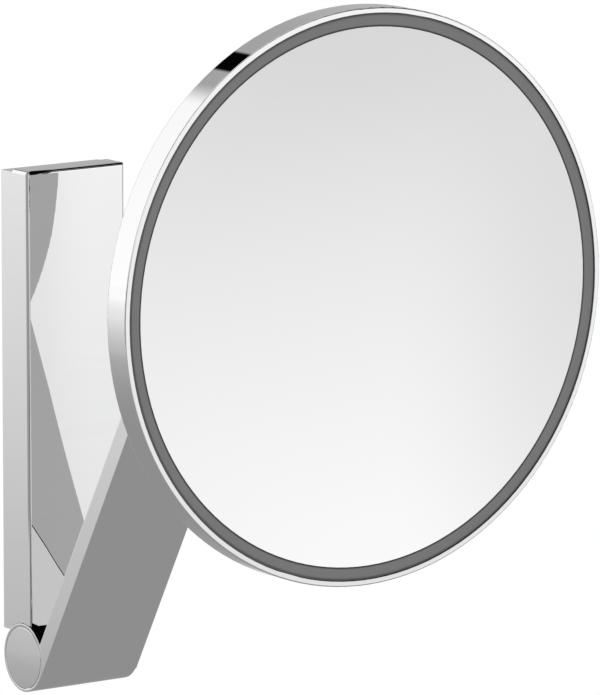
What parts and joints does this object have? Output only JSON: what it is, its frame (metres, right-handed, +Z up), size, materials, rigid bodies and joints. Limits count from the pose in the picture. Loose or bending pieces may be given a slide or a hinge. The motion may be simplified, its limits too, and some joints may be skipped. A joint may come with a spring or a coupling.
{
  "type": "shaving mirror",
  "caption": "Round wall-mounted shaving mirror with a light ring, on a folding two-link arm hinged below a slim upright wall profile.",
  "frame": {"origin": "on the wall plane, at the centre of the wall profile's back", "axes": "+Z up, +X to the right, -Y from the wall into the room"},
  "size_m": [0.213, 0.2078, 0.2846],
  "materials": {
    "chrome": "polished chrome plate",
    "satin_steel": "satin nickel plate",
    "steel": "zinc plated, turned",
    "spring_steel": "tempered spring steel",
    "brass": "turned brass",
    "black_rubber": "matt rubber",
    "foam": "closed-cell foam tape",
    "polymer": "low-friction polymer",
    "white_plastic": "moulded plastic",
    "circuit_board": "lacquered board",
    "diode": "clear resin over phosphor",
    "frosted_ring": "frosted light ring",
    "mirror": "silvered concave glass"
  },
  "bodies": {
    "wall": {"wall_base": "chrome", "wall_cover": "chrome", "cover_screws": "steel", "inlet_grommet": "black_rubber", "led_driver": "white_plastic", "driver_screws": "steel", "terminal_block": "white_plastic", "terminal_screws": "brass", "wall_knuckle": "satin_steel", "knuckle_screws": "steel"},
    "arm": {"arm_body": "chrome", "lower_axle": "steel", "lower_washers": "polymer", "lower_springs": "spring_steel", "lower_nut": "steel", "lower_caps": "chrome", "upper_axle": "steel", "upper_washers": "polymer", "upper_springs": "spring_steel", "upper_nut": "steel", "upper_caps": "chrome"},
    "link": {"link_arm": "chrome", "tilt_axle": "steel", "tilt_washers": "polymer", "tilt_nut": "steel"},
    "neck": {"swivel_block": "chrome"},
    "head": {"head_bracket": "chrome", "swivel_pin": "steel", "swivel_washers": "polymer", "swivel_nut": "steel", "head_housing": "chrome", "head_chassis": "white_plastic", "head_screws": "steel", "led_board": "circuit_board", "leds": "diode", "light_ring": "frosted_ring", "glass_pads": "foam", "mirror_glass": "mirror"}
  },
  "joints": [
    {"name": "arm_fold", "type": "hinge", "parent": "wall", "child": "arm", "pos_m": [0, -0.0136, -0.0997], "axis": [1, 0, 0], "range_deg": [-20, 60]},
    {"name": "link_fold", "type": "hinge", "parent": "arm", "child": "link", "pos_m": [0, -0.11545, 0.07671], "axis": [1, 0, 0], "range_deg": [-12, 18]},
    {"name": "head_tilt", "type": "hinge", "parent": "link", "child": "neck", "pos_m": [0, -0.17023, 0.06507], "axis": [1, 0, 0], "range_deg": [-40, 40]},
    {"name": "head_swivel", "type": "hinge", "parent": "neck", "child": "head", "pos_m": [0, -0.18483, 0.06507], "axis": [0, 0, 1], "range_deg": [-45, 45]}
  ]
}
